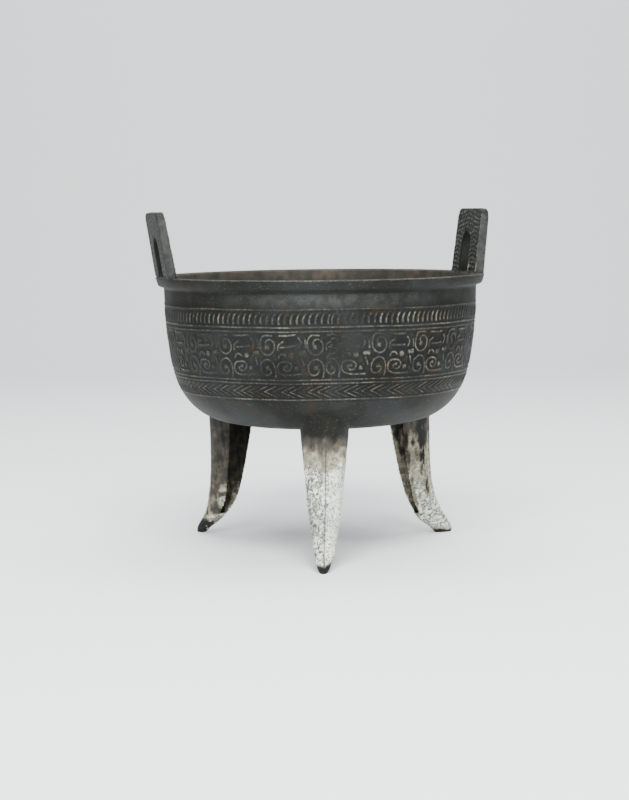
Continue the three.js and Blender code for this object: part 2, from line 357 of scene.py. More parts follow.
def band_relief(angle, depth):
    """Height of the cast ornament over the smooth wall, in metres, at angles in degrees and depths."""
    turn = np.radians(angle)
    section = ((angle - first_seam) % 360 // section_angle).astype(int)
    local = (angle - first_seam) % section_angle
    wobble = 0.12 * mm * (np.sin(3 * turn + 1) + np.sin(7 * turn) + 0.6 * np.sin(17 * turn + 2))
    depth = depth + wobble
    height = np.zeros_like(depth)
    for line_depth, half_width, rise in cord_lines:
        uneven = 0.86 + 0.14 * np.sin(5 * turn + line_depth * 900) * np.sin(13 * turn + 2)
        height = np.maximum(height, rise * uneven * ridge(depth - line_depth, half_width))
    lines = height

    # Crescents: each bends like an opening bracket, its top leaning to the right.
    across = local / section_angle * (crescent_count / 3) + 0.3 * section
    v = (depth - (crescent_top + crescent_bottom) / 2) / ((crescent_bottom - crescent_top) / 2)
    bent = across + 0.3 * (1 - v**2) + 0.22 * v
    number = np.floor(bent)
    mark = ridge(bent - number - 0.5, 0.3) * np.clip(1.3 - np.abs(v) ** 4 * 1.3, 0, 1) * (np.abs(v) < 1)
    uneven = 0.9 + 0.1 * np.sin(number * 2.4 + 3 * section)
    wear = np.interp(from_front(angle), crescent_wear[:, 0], crescent_wear[:, 1])
    lines = np.maximum(lines, crescent_height * uneven * wear * mark)

    # Chevrons: each points to the left.
    pitch = section_angle / (chevron_count / 3)
    v = (depth - (chevron_top + chevron_bottom) / 2) / ((chevron_bottom - chevron_top) / 2)
    slant = local / pitch - 1.5 * np.abs(v)
    number = np.floor(slant)
    mark = ridge(slant - number - 0.5, 0.27) * (np.abs(v) < 1)
    lines = np.maximum(lines, line_height * (0.85 + 0.15 * np.sin(number * 2.1)) * mark)

    # Scrolls: one stamp pressed again and again, a little strained and never quite level.
    unit = section_angle / (unit_count / 3)
    place = (local - np.array(section_shift)[section]) / unit + 1 / 6
    number = np.floor(place)
    strain = 0.012 * np.sin(2.3 * number + depth / (5 * mm))
    column = ((place - number + strain) * stamp.shape[1]).astype(int).clip(0, stamp.shape[1] - 1)
    row = ((depth - scroll_top) / mm / stamp_step + 3 * np.sin(number * 1.9 + 5 * place)).round().astype(int)
    inside = (row >= 0) & (row < stamp.shape[0])
    mark = np.where(inside, stamp[row.clip(0, stamp.shape[0] - 1), column], 0)
    left = rubbed(angle, depth)
    height = np.maximum(line_height * mark * left, lines * np.maximum(left, 0.8))
    seam = ridge(np.radians(np.minimum(local, section_angle - local)) * seam_radius, seam_half_width)
    return np.maximum(height, seam_height * seam * (depth > seam_top))


def coordinates(mesh):
    """The mesh's points as rows of x, y and z."""
    flat = np.empty(len(mesh.vertices) * 3)
    mesh.vertices.foreach_get("co", flat)
    return flat.reshape(-1, 3)


def put_coordinates(mesh, points):
    """Moves the mesh's points to these rows of x, y and z."""
    mesh.vertices.foreach_set("co", points.ravel())
    mesh.update()


def front_angle(points):
    """Degrees round the vessel from its front, towards +X."""
    return np.degrees(np.arctan2(points[:, 0], -points[:, 1])) % 360


def on_bands(radius, depth):
    """Whether points lie on the outside of the wall where the bands run."""
    beside = 1 * mm
    within_bands = (depth > bands_top - beside) & (depth < bands_bottom + beside)
    return (radius > wall_radius(depth) - beside) & within_bands


bowl = spin_solid("bowl", bowl_outline(), panels_around, columns_per_panel)
points = coordinates(bowl.data)
radius = np.hypot(points[:, 0], points[:, 1])
depth = rim_height - points[:, 2]
rise = np.where(on_bands(radius, depth), band_relief(front_angle(points), depth), 0)
points[:, :2] *= (1 + rise / np.maximum(radius, mm))[:, None]
put_coordinates(bowl.data, points)
fewer_faces(bowl, bowl_faces_kept)


# ---- Legs ----
# Three legs cast in one with the bowl: half tubes open towards the middle, with a sharp ridge down the
# outside where the mould sections met. The lower parts are buried in lime and cuprite crust.
leg_stations = [
    # height, middle radius, half depth (radial), half width
    (0, 88.2 * mm, 4.6 * mm, 2.4 * mm),
    (3.5 * mm, 86.4 * mm, 5.9 * mm, 4 * mm),
    (9 * mm, 81.2 * mm, 7.8 * mm, 5.8 * mm),
    (15 * mm, 76.8 * mm, 8.5 * mm, 6.9 * mm),
    (24 * mm, 72.5 * mm, 9.6 * mm, 8.5 * mm),
    (36 * mm, 69.2 * mm, 10.2 * mm, 10.1 * mm),
    (52 * mm, 66.6 * mm, 11.6 * mm, 11.5 * mm),
    (70 * mm, 64.6 * mm, 13.3 * mm, 13.4 * mm),
    (80 * mm, 64.2 * mm, 13.9 * mm, 14.3 * mm),
    (91 * mm, 64 * mm, 14.2 * mm, 15 * mm),
]
leg_wall = 3.2 * mm
solid_foot = 13 * mm
leg_root = 65 * mm
leg_ridge = 1.1 * mm
toe_height = 24 * mm
crust_height = 0.36 * mm
bare_unevenness = 0.10 * mm
leg_voxel = 0.6 * mm
leg_faces_kept = 0.3
leg_line = smooth_through(leg_stations, 6)
leg_places = {
    # where the leg stands round the bowl and its own twist, in degrees, how far out its root is set, and
    # how much thinner its foot is
    "foot_front": (-88.7, -4.5, 0, 0),
    "foot_right": (30, -9, -1.4 * mm, -0.25),
    "foot_left": (150, -9, 1.4 * mm, 0.3),
}


def extrude_ring(sides, floors, place):
    """A closed solid: a filled ring of radius 1 raised floor by floor, then set by place(x, y, floor)."""
    bm = bmesh.new()
    bmesh.ops.create_circle(bm, segments=sides, radius=1)
    ring = bm.edges[:]
    for _ in range(floors):
        made = bmesh.ops.extrude_edge_only(bm, edges=ring)["geom"]
        raised = {item for item in made if isinstance(item, bmesh.types.BMVert)}
        ring = [item for item in made if isinstance(item, bmesh.types.BMEdge)]
        ring = [edge for edge in ring if raised.issuperset(edge.verts)]
        bmesh.ops.translate(bm, verts=list(raised), vec=(0, 0, 1))
    bmesh.ops.holes_fill(bm, edges=bm.edges, sides=sides)
    for vert in bm.verts:
        vert.co = place(vert.co.x, vert.co.y, round(vert.co.z))
    bmesh.ops.recalc_face_normals(bm, faces=bm.faces)
    return bm


def leg_section(station, toe_reach, foot_taper):
    """Height, middle, half depth and half width of one leg at a station."""
    height, middle, half_depth, half_width = station
    toe = max(0, 1 - height / toe_height)
    return height, middle + toe_reach * toe**1.5, half_depth * (1 - foot_taper * toe), half_width


def leg_outside(sections):
    """The leg as a solid, oval in section with a sharp ridge outwards."""
    def place(x, y, floor):
        height, middle, half_depth, half_width = sections[floor]
        keel = leg_ridge * min(1, half_width / (8 * mm)) * max(0, x) ** 40
        return Vector((middle + x * half_depth + keel, y * half_width, height))
    return extrude_ring(48, len(sections) - 1, place)


def leg_hollow(sections):
    """What is cut out of the leg's back: it ends above the foot, where it narrows to a quarter."""
    sections = [section for section in sections if section[0] > solid_foot]

    def place(x, y, floor):
        height, middle, half_depth, half_width = sections[floor]
        if floor == len(sections) - 1:
            height += 2 * mm
        inner = half_width - min(leg_wall, half_width / 2)
        closing = min(1, 0.25 + 0.75 * (height - solid_foot) / (9 * mm))
        if x > -0.1:
            return Vector((middle + x * (half_depth - leg_wall) * closing, y * inner, height))
        return Vector((middle + x * 1.5 * half_depth, math.copysign(min(1, abs(y) * 1.3), y) * inner, height))
    return extrude_ring(40, len(sections) - 1, place)


def leg_frame(name):
    """From the leg's own frame (x outwards, y across) to its place under the bowl."""
    angle, twist, outward, _ = leg_places[name]
    turn = Matrix.Rotation(math.radians(angle), 4, "Z") @ Matrix.Translation((leg_root + outward, 0, 0))
    return turn @ Matrix.Rotation(math.radians(twist), 4, "Z") @ Matrix.Translation((-leg_root, 0, 0))


def even_faces(piece, size):
    """Gives the piece a mesh of even faces of about that size, so its surface can be worked."""
    even = piece.modifiers.new("even_faces", "REMESH")
    even.mode = "VOXEL"
    even.voxel_size = size
    return settle(piece)


def leg_solid(name):
    """One leg in its place, hollowed, cut off inside the bowl's wall and given an even mesh."""
    foot = leg_frame(name).inverted() @ Vector(mounts[name]["pos_m"])
    toe_reach = foot.x - leg_stations[0][1]
    sections = [leg_section(station, toe_reach, leg_places[name][3]) for station in leg_line]
    leg = new_object(name, leg_outside(sections))
    combine(leg, new_object(name + "_hollow", leg_hollow(sections)), "DIFFERENCE")
    leg.data.transform(leg_frame(name))
    half_wall = wall_thickness / 2
    inner = [(max(radius - half_wall, 0), depth - half_wall) for radius, depth in belly[::-6, ::-1]]
    cavity = [(0, bowl_depth - half_wall)] + [point for point in inner if point[0] > mm]
    cavity += [(neck_radius, 0), (0, 0)]
    combine(leg, spin_solid(name + "_cavity", cavity, 96), "DIFFERENCE")
    return even_faces(leg, leg_voxel)


def noise_at(points, size, seed, octaves=1):
    """Smooth noise, about -1 to 1, at points in metres, with features of that size."""
    shift = Vector((seed * 7.1, seed * 3.7, seed * 5.3))
    if octaves == 1:
        return np.array([noise.noise(Vector(p) / size + shift) for p in points])
    return np.array([noise.fractal(Vector(p) / size + shift, 0.9, 2.1, octaves) for p in points])


def in_frame(points, frame):
    """The points in the coordinates of a frame given by its matrix."""
    inverse = np.array(frame.inverted())
    return points @ inverse[:3, :3].T + inverse[:3, 3]


crust_zones = {
    # heights where the crust is full and where it ends, how full it is, how patchy, how streaked along the
    # leg, the height above which the hollow is clear of it, and the height of the bare sole
    "foot_front": (34 * mm, 79 * mm, 1.0, 0.2, 0.06, solid_foot, 4 * mm),
    "foot_right": (14 * mm, 86 * mm, 0.78, 0.2, 0.39, solid_foot, 1.5 * mm),
    "foot_left": (0, 104 * mm, 0.3, 0.1, 0.12, 34 * mm, 8 * mm),
}


def leg_middle(height):
    """Middle radius, half depth and half width of a leg at each height."""
    stations = leg_line.T
    return [np.interp(height, stations[0], stations[k]) for k in (1, 2, 3)]


def in_hollow(own):
    """How far points in a leg's own frame lie in the dark middle of its half tube, 0 to 1."""
    middle, half_depth, half_width = leg_middle(own[:, 2])
    reach = np.hypot((own[:, 0] - middle) / half_depth, own[:, 1] / half_width)
    aside = np.abs(own[:, 1]) / half_width
    beside = (own[:, 0] < middle) & (aside < 1 - 0.6 * leg_wall / half_width)
    return ((reach < 0.86) | beside) * (own[:, 2] > solid_foot) * np.clip(1.9 - 2.2 * aside, 0.3, 1)


def crust_cover(points, name):
    """How much crust lies at points on a leg, 0 to 1: brown earth at first, then tan, then pale lime."""
    full, end, most, patchy, streaky, clear_above, sole = crust_zones[name]
    own = in_frame(points, leg_frame(name))
    height = own[:, 2]
    middle, half_depth, _ = leg_middle(height)
    outward = (own[:, 0] - middle) / half_depth
    patches = noise_at(own, 8 * mm, 2, 3)
    streaks = noise_at(own * (1, 1, 0.16), 2.2 * mm, 9, 2)
    toe = np.clip((height - sole) / (2.5 * mm) + 0.6 * patches, 0, 1)
    cover = most * np.clip((end - height) / (end - full), 0, 1)
    cover = cover + (patchy * patches + streaky * streaks) * np.clip(cover * 4, 0, 1)
    cover = cover * (1 - 0.85 * in_hollow(own) * (height > clear_above))
    if name == "foot_right":
        # smooth earth on the side towards the bowl's middle, and a bare streak down the outside
        earth = np.clip((height - 36 * mm) / (10 * mm) + 2 * patches, 0, 1) * np.clip(1 - 2.5 * outward, 0, 1)
        cover = np.minimum(cover, 1 - 0.62 * earth)
        streak = np.exp(-((outward - 0.3) / 0.22) ** 2) * np.clip(streaks * 4 + 0.5, 0, 1)
        cover = cover - 0.7 * streak * np.clip((height - 16 * mm) / (12 * mm), 0, 1)
    if name == "foot_left":
        # lime only on the rim of the hollow, in a spot above the foot and along the outer edge
        rim = np.clip((-0.2 - outward) / 0.3, 0, 1) * np.clip((36 * mm - height) / (6 * mm), 0, 1)
        spot = np.exp(-((height - 12.5 * mm) / (3 * mm)) ** 2) * np.exp(-(outward / 0.5) ** 2)
        edge = np.clip((outward - 0.45) / 0.25, 0, 1) * np.clip((40 * mm - height) / (8 * mm), 0, 1)
        cover = cover + np.maximum(0.3 * rim, 0.4 * spot) * np.clip(3 * patches + 0.8, 0, 1.1) + 0.26 * edge
    cover = np.clip(cover, 0, 1) * toe
    if name == "foot_left":
        specks = np.clip(3 * noise_at(own, 1.8 * mm, 4) - 0.9, 0, 1) * (height > 1 * mm)
        cover = cover + specks * (1 - toe)
    return np.clip(cover, 0, 1)


def smoother_half(own):
    """How far points in the front leg's own frame lie on its smoother right half, 0 to 1."""
    return np.clip(0.5 + (own[:, 1] - 1 * mm) / (3 * mm), 0, 1)


def crust_lumps(points, name):
    """The crust's knobbly surface at points on a leg, about -1 to 1."""
    lumps = 1.1 * noise_at(points, 1.7 * mm, 5) + 0.8 * noise_at(points, 4.5 * mm, 6)
    if name == "foot_front":
        smooth = smoother_half(in_frame(points, leg_frame(name)))
        lumps = lumps * (1 - 0.6 * smooth) + 0.12 * smooth
    return lumps


def roughen_leg(leg):
    """Raises the crust's lumps on a leg and makes the bare metal a little uneven."""
    points = coordinates(leg.data)
    flat = np.empty(len(points) * 3)
    leg.data.vertices.foreach_get("normal", flat)
    normals = flat.reshape(-1, 3)
    lumps = crust_lumps(points, leg.name) * crust_height
    bare = noise_at(points, 5 * mm, 7, 2) * bare_unevenness
    cover = crust_cover(points, leg.name)
    points += normals * (bare + np.clip(cover * 1.6, 0, 1) * lumps)[:, None]
    points[:, 2] = np.maximum(points[:, 2], 0)
    put_coordinates(leg.data, points)
    fewer_faces(leg, leg_faces_kept)


legs = [leg_solid(name) for name in leg_places]
for leg in legs:
    roughen_leg(leg)


# ---- Handles ----
# Two upright loops cast on the lip, leaning outwards. Their faces carry rows of fine granules that follow
# the arched opening.
handle_width, handle_top_width = 52 * mm, 49.5 * mm
handle_height = 39 * mm
handle_thickness, handle_top_thickness = 6 * mm, 5 * mm
handle_root = 4.5 * mm
opening_width = 16 * mm
opening_height = 24.5 * mm
corner_cut = 5 * mm
handle_places = (
    # turn about the axis and outward lean in degrees, middle radius
    (12, 6.7, 93.3 * mm),
    (193, 9.8, 94.3 * mm),
)
granule_row, granule_length = 2.7 * mm, 5.2 * mm
granule_height_inside, granule_height_outside = 0.45 * mm, 0.15 * mm
handle_voxel = 0.5 * mm
handle_faces_kept = 0.32
root_profile = np.array([
    # depth below the rim, how far the root stays inside the lip's outer edge
    (0, 0.2 * mm), (0.5 * mm, 0.3 * mm), (2 * mm, 0.7 * mm), (4.5 * mm, 1.7 * mm),
])


def handle_outline():
    """(along the rim, height) of the loop's outline, a squared arch open at the rim."""
    half, inner = handle_width / 2, opening_width / 2
    spring = opening_height - inner
    outer = [
        (half, -handle_root),
        (half, handle_height - corner_cut),
        (half - 0.4 * corner_cut, handle_height - 0.3 * corner_cut),
        (half - corner_cut, handle_height),
    ]
    arch = [(inner * math.cos(a), spring + inner * math.sin(a)) for a in np.linspace(0, math.pi, 17)]
    left = [(-x, y) for x, y in reversed(outer)]
    return outer + left + [(-inner, -handle_root)] + arch[::-1] + [(inner, -handle_root)]


def handle_place(side):
    """From the loop's own frame (x along the rim, y up, z out) to its place on the rim."""
    turn, lean, radius = handle_places[side]
    upright = Matrix(((0, 0, 1, 0), (1, 0, 0, 0), (0, 1, 0, 0), (0, 0, 0, 1)))
    tip = Matrix.Rotation(math.radians(lean), 4, "Y")
    stand = Matrix.Translation((radius, 0, rim_height))
    return Matrix.Rotation(math.radians(turn), 4, "Z") @ stand @ tip @ upright


def granules(points):
    """Height of the granulated rows, 0 to 1, at points in the loop's own frame."""
    x, y = points[:, 0], points[:, 1]
    spring = opening_height - opening_width / 2
    away = np.where(y > spring, np.hypot(x, y - spring), np.abs(x)) - opening_width / 2
    strip = (handle_width + opening_width) / 4
    bend = np.where(y > opening_height + 1 * mm, np.abs(x), np.abs(np.abs(x) - strip))
    waver = noise_at(points, 3.4 * mm, 13) * 1.0 * mm
    rows = 0.5 + 0.5 * np.sin(2 * np.pi * (y + 0.16 * bend + waver) / granule_row)
    beads = 0.5 + 0.5 * np.sin(2 * np.pi * (x + 0.6 * y + 2 * waver) / granule_length)
    edge = np.clip((handle_width / 2 - 1.6 * mm - np.abs(x)) / (0.5 * mm), 0, 1) * (away > 1.4 * mm)
    return np.clip(1.4 * rows * (0.5 + 0.5 * beads) - 0.2, 0, 1) * edge * (y < handle_height - 1.2 * mm)


def handle_size(height):
    """Half width and half thickness of the loop at heights above its foot."""
    climb = np.clip(height / handle_height, 0, 1)
    width = handle_width + climb * (handle_top_width - handle_width)
    return width / 2, (handle_thickness + climb * (handle_top_thickness - handle_thickness)) / 2


def handle_solid(name, side):
    """One loop in its place: extruded, bevelled, granulated, then trimmed where its root meets the lip."""
    bm = bmesh.new()
    verts = [bm.verts.new((x, y, -handle_thickness / 2)) for x, y in handle_outline()]
    face = bm.faces.new(verts)
    made = bmesh.ops.extrude_face_region(bm, geom=[face])["geom"]
    moved = [item for item in made if isinstance(item, bmesh.types.BMVert)]
    bmesh.ops.translate(bm, verts=moved, vec=(0, 0, handle_thickness))
    bmesh.ops.recalc_face_normals(bm, faces=bm.faces)
    sharp = [edge for edge in bm.edges if edge.calc_face_angle(0) > math.radians(60)]
    bmesh.ops.bevel(
        bm, geom=sharp, offset=0.7 * mm, segments=2, profile=0.5, affect="EDGES", material=-1
    )
    loop = even_faces(new_object(name, bm), handle_voxel)
    points = coordinates(loop.data)
    on_face = np.clip((np.abs(points[:, 2]) - handle_thickness / 2 + 0.5 * mm) / (0.4 * mm), 0, 1)
    strength = np.where(points[:, 2] < 0, granule_height_inside, granule_height_outside)
    strength = strength * on_face * (points[:, 1] > 0.5 * mm)
    points[:, 2] += np.sign(points[:, 2]) * strength * (granules(points) - 0.5)
    points += (noise_at(points, 6 * mm, 11, 2) * 0.12 * mm)[:, None]
    half_width, half_thickness = handle_size(points[:, 1])
    points[:, 0] *= half_width / (handle_width / 2)
    points[:, 2] *= half_thickness / (handle_thickness / 2)
    put_coordinates(loop.data, points)
    fewer_faces(loop, handle_faces_kept)
    loop.data.transform(handle_place(side))
    points = coordinates(loop.data)
    radius = np.hypot(points[:, 0], points[:, 1])
    below_rim = rim_height - points[:, 2]
    root_radius = lip_radius - np.interp(below_rim, root_profile[:, 0], root_profile[:, 1])
    sunk_shade = (below_rim > -0.2 * mm) & (radius > root_radius)
    points[:, :2] *= np.where(sunk_shade, root_radius / radius, 1)[:, None]
    put_coordinates(loop.data, points)
    return loop


handles = [handle_solid(name, side) for side, name in enumerate(("right_handle", "left_handle"))]


# ---- The casting ----
# Bowl, legs and handles are one pour of bronze, so they are one piece. Its finish is a dark grey-brown
# patina, rubbed lighter on the raised lines, with earth inside and lime crust on the legs.
def keep_largest_shell(bm):
    """Removes the crumbs that cutting and remeshing leave loose beside the casting."""
    left, shells = set(bm.faces), []
    while left:
        shell = [left.pop()]
        for face in shell:
            beside = {other for edge in face.edges for other in edge.link_faces} & left
            left -= beside
            shell.extend(beside)
        shells.append(shell)
    shells.sort(key=len)
    bmesh.ops.delete(bm, geom=[face for shell in shells[:-1] for face in shell], context="FACES")


for part in legs + handles:
    combine(bowl, part, "UNION")
ding = bowl
ding.name = ding.data.name = "ding_vessel"
bm = bmesh.new()
bm.from_mesh(ding.data)
bmesh.ops.remove_doubles(bm, verts=bm.verts, dist=0.005 * mm)
keep_largest_shell(bm)
bmesh.ops.triangulate(bm, faces=bm.faces)
bm.to_mesh(ding.data)
bm.free()
for polygon in ding.data.polygons:
    polygon.use_smooth = True
points = coordinates(ding.data)
points[:, 2] = np.maximum(points[:, 2], 0)
put_coordinates(ding.data, points)


def paint(mesh, name, values):
    """Keeps one number a vertex, for the material to read."""
    layer = mesh.attributes.new(name, "FLOAT", "POINT")
    layer.data.foreach_set("value", values.astype(np.float32))


angle = front_angle(points)
radius = np.hypot(points[:, 0], points[:, 1])
depth = rim_height - points[:, 2]

# Bowl: what stands up, painted shade in the hollows just beside it, a painted highlight and some wear on
# the lip's edge, and a painted sheen on the neck a little right of the front.
sheen_angle, sheen_spread, sheen_most = 4, 32, 0.22
side_step, depth_step = 0.62, 1.0 * mm  # about one line's width round the bowl and down it
outside = on_bands(radius, depth)
raised = np.where(outside, band_relief(angle, depth) / line_height, 0)
# Painted shade in the grooves: how far each point lies below the highest relief just beside it.
steps = (side_step, 0), (-side_step, 0), (0, depth_step), (0, -depth_step)
highest = np.max([band_relief(angle + turned, depth + lower) for turned, lower in steps], axis=0)
groove_shade = np.where(outside, np.clip(highest / line_height - raised, 0, 1), 0)
# A painted highlight, with some wear, along the lip's outer top edge.
lip_edge = (radius > lip_radius - 0.9 * mm) & (depth < 0.9 * mm) & (depth > -0.1 * mm)
raised = np.where(lip_edge, 0.6, raised)
# A painted sheen on the neck: a reflection laid into the colour.
sheen = sheen_most * np.exp(-((from_front(angle) - sheen_angle) / sheen_spread) ** 2)
sheen = sheen * np.clip((16 * mm - depth) / mm, 0, 1)
painted_sheen = np.where((radius > neck_radius - 1.5 * mm) & (depth > lip_height + 1.5 * mm), sheen, 0)
within = (radius < wall_radius(depth) - 1.6 * mm) & (depth > 0.3 * mm) & (depth < bowl_depth - 1.6 * mm)
within &= (radius < mouth_radius + 0.6 * mm)

# Handles: rubbed granules with painted shade between them, a painted highlight along the inner corners,
# painted highlights on the ends, and dry earth at the right loop's foot.
granules_rubbed = (1.1, 0.8)
end_highlight = 0.27
earthy = np.zeros(len(points))
for side in (0, 1):
    own = in_frame(points, handle_place(side))
    along, up, out = np.abs(own[:, 0]), own[:, 1], own[:, 2]
    half_width, half_thickness = handle_size(up)
    on_handle = (up > 0.5 * mm) & (np.abs(out) < 6 * mm) & (along < handle_width / 2 + mm)
    on_face = on_handle & (np.abs(out) > half_thickness - 0.5 * mm)
    grain = granules(own)
    raised = np.where(on_face, granules_rubbed[side] * grain, raised)
    # A painted highlight along the corners of the inward face at the loop's ends.
    raised = np.where(on_face & (along > half_width - 1.1 * mm) & (out < 0), 1.1, raised)
    # Painted shade between the granules, away from the loop's ends.
    groove_shade = np.where(on_face & (along < half_width - 1.5 * mm), 0.7 * (1 - grain), groove_shade)
    # Painted highlights on the loop's ends.
    on_end = on_handle & (along > half_width - 0.7 * mm) & (up < handle_height - 3 * mm)
    painted_sheen = np.where(on_end, end_highlight, painted_sheen)
    if side == 0:
        near_foot = np.clip((9 * mm - up) / (5 * mm), 0, 1) * (np.abs(own[:, 0] + 3 * mm) < 9 * mm)
        earthy = np.where(on_handle, 0.4 * near_foot, earthy)

# Legs: crust, its lumps, painted shade in the hollows, and a painted shadow line beside the mould's parting
# ridge down the front leg, with one chip.
chip_height, chip_radius = 37 * mm, 1.5 * mm
far_off = 9.0  # millimetres from the parting line, where there is none
cover, hollow, lumps = np.zeros((3, len(points)))
parting, knobbly = np.full(len(points), far_off), np.ones(len(points))
for name in leg_places:
    own = in_frame(points, leg_frame(name))
    on_leg = (depth > bowl_depth - 20 * mm) & (np.abs(own[:, 1]) < 18 * mm) & (own[:, 0] > 40 * mm)
    on_leg &= ~outside & ~within
    cover[on_leg] = crust_cover(points[on_leg], name)
    hollow[on_leg] = in_hollow(own[on_leg])
    lumps[on_leg] = crust_lumps(points[on_leg], name)
    if name == "foot_front":
        # A painted shadow line beside the parting ridge, shifted a little aside, and one dark chip.
        aside = np.interp(own[:, 2], (10 * mm, 80 * mm), (0.4, 1.6))
        parting = np.where(on_leg & (own[:, 0] > leg_middle(own[:, 2])[0]), own[:, 1] / mm - aside, parting)
        chip = np.hypot(own[:, 1] - 1.4 * mm, own[:, 2] - chip_height) < chip_radius
        parting = np.where(chip & (own[:, 0] > leg_root + 5 * mm), 0, parting)
        knobbly[on_leg] = 1 - 0.65 * smoother_half(own[on_leg])
    else:
        knobbly[on_leg] = np.clip(1 - (own[on_leg, 2] - 20 * mm) / (60 * mm), 0.4, 0.9)

painted = {
    "raised": raised, "groove_shade": groove_shade, "painted_sheen": painted_sheen, "inside": within, "crust": np.maximum(cover, earthy),
    "hollow": hollow, "lumps": lumps, "parting": parting, "knobbly": knobbly,
}
for name, values in painted.items():
    paint(ding.data, name, values)


def linear(code):
    """Linear RGBA of an sRGB hex colour."""
    parts = [int(code[i:i + 2], 16) / 255 for i in (1, 3, 5)]
    return [c / 12.92 if c <= 0.04045 else ((c + 0.055) / 1.055) ** 2.4 for c in parts] + [1]


def add(material, kind, settings=None, **inputs):
    """One node, with its settings, and its inputs set to a value or linked to another node's output."""
    node = material.node_tree.nodes.new(kind)
    for key, value in (settings or {}).items():
        setattr(node, key, value)
    for key, value in inputs.items():
        socket = node.inputs[int(key[1:])] if key[1:].isdigit() else node.inputs[key.replace("_", " ")]
        if isinstance(value, bpy.types.NodeSocket):
            material.node_tree.links.new(value, socket)
        else:
            socket.default_value = value
    return node


# Cast leaded bronze under a smooth dark patina: low sheen on the skin, paler and browner where it is rubbed,
# with painted shade in its grooves and the legs' hollows, painted highlights on the lip's edge and the
# handles, a painted sheen on the neck, and matt, knobbly and pitted where lime and cuprite crust have
# grown over it.
bronze = bpy.data.materials.new("patinated_bronze")
bronze.use_nodes = True
value = {}
for name in painted:
    value[name] = add(bronze, "ShaderNodeAttribute", {"attribute_name": name}).outputs["Fac"]
place = add(bronze, "ShaderNodeTexCoord").outputs["Object"]
clouds = (
    # name, size of the clouds in millimetres, detail, roughness
    ("broad", 34, 3, 0.5), ("warm", 20, 2, 0.5), ("cuprite", 16, 3, 0.5), ("blotch", 13, 4, 0.6),
    ("earthy", 9, 4, 0.6), ("wearing", 7, 3, 0.6), ("limy", 7, 3, 0.5), ("streaky", 5, 4, 0.6),
    ("sandy", 4, 4, 0.65), ("knobs", 1.8, 3, 0.65), ("speckle", 1.3, 3, 0.6), ("pitting", 1.2, 3, 0.6),
    ("grain", 0.9, 4, 0.6),
)
for name, size, detail, roughness in clouds:
    cloud = add(
        bronze, "ShaderNodeTexNoise", Vector=place, Scale=1 / (size * mm), Detail=detail, Roughness=roughness,
    )
    value[name] = cloud.outputs["Fac"]

# The lime's lumps: cells 1.7 mm across, stirred so that none is regular.
cell_size, stir_size, stir_reach = 1.7 * mm, 2.2 * mm, 2 * mm
stirring = add(bronze, "ShaderNodeTexNoise", Vector=place, Scale=1 / stir_size, Detail=2).outputs["Color"]
stir = {"operation": "MULTIPLY_ADD"}
stirred = add(bronze, "ShaderNodeVectorMath", stir, i0=stirring, i1=(stir_reach,) * 3, i2=place).outputs[0]
value["cell"] = add(bronze, "ShaderNodeTexVoronoi", Vector=stirred, Scale=1 / cell_size).outputs["Distance"]

off_parting = add(bronze, "ShaderNodeMath", {"operation": "ABSOLUTE"}, i0=value["parting"])
value["off_parting"] = off_parting.outputs[0]
spreads = (
    # name, what it is taken from, low and high there, what they become
    ("greyer", "broad", 0.4, 0.62, 0, 1),
    ("browner", "blotch", 0.5, 0.72, 0, 1),
    ("specks", "speckle", 0.56, 0.74, 0, 0.3),
    # painted shade in the grooves and between the granules
    ("sunk_shade", "groove_shade", 0, 1, 0, 0.8),
    ("stands_up", "raised", 0.3, 1.2, 0, 1),
    ("worn", "wearing", 0.34, 0.6, 0.25, 1),
    ("flecked", "speckle", 0.42, 0.58, 0.25, 1),
    ("tawny", "warm", 0.42, 0.6, 0, 1),
    # streaks that break up the painted sheen and highlights
    ("sheen_streaks", "streaky", 0.36, 0.6, 0.35, 0.9),
    ("dry_earth", "earthy", 0.36, 0.7, 0, 1),
    ("red_earth", "cuprite", 0.52, 0.8, 0, 0.8),
    # painted shade in the legs' hollows
    ("hollow_shade", "hollow", 0, 1, 0, 0.7),
    ("rusty", "streaky", 0.45, 0.62, 0, 1),
    ("light_sand", "sandy", 0.4, 0.62, 0, 1),
    ("greenish", "limy", 0.42, 0.6, 0, 0.8),
    # painted shade in the dips between the crust's lumps
    ("low_lumps", "lumps", -0.3, 0.2, 0.8, 0),
    ("cell_gaps", "cell", 0.42, 0.66, 0, 1),
    ("gap_breaks", "knobs", 0.4, 0.55, 0.15, 1),
    ("brown_cover", "crust", 0.04, 0.2, 0, 1),
    ("tan_cover", "crust", 0.2, 0.38, 0, 1),
    ("lime_cover", "crust", 0.42, 0.62, 0, 1),
    ("pits", "pitting", 0.40, 0.47, 1, 0),
    ("pits_allowed", "crust", 0.3, 0.5, 0, 0.8),
    # a painted shadow line beside the parting ridge, and the chip
    ("shadow_and_chip_mask", "off_parting", 0.25, 0.6, 0.7, 0),
    ("on_crust", "crust", 0.02, 0.15, 0, 1),
    ("metal", "crust", 0.1, 0.35, 0.25, 0),
    ("matt", "crust", 0.1, 0.35, 0.64, 0.88),
)
for name, source, low, high, to_low, to_high in spreads:
    spread = add(
        bronze, "ShaderNodeMapRange", {"interpolation_type": "SMOOTHSTEP"}, Value=value[source],
        From_Min=low, From_Max=high, To_Min=to_low, To_Max=to_high,
    )
    value[name] = spread.outputs[0]
products = (
    ("worn_and_highlit_tops", "stands_up", "worn"),
    ("rubbed_and_highlit_tops", "worn_and_highlit_tops", "flecked"),
    ("streaked_sheen", "painted_sheen", "sheen_streaks"),
    ("broken_gaps", "cell_gaps", "gap_breaks"),
    ("gaps", "broken_gaps", "knobbly"),
    ("dips", "low_lumps", "knobbly"),
    ("pitted", "pits", "pits_allowed"),
    ("parting_shadow_and_chip", "shadow_and_chip_mask", "on_crust"),
)
for name, first, second in products:
    product = add(bronze, "ShaderNodeMath", {"operation": "MULTIPLY"}, i0=value[first], i1=value[second])
    value[name] = product.outputs[0]
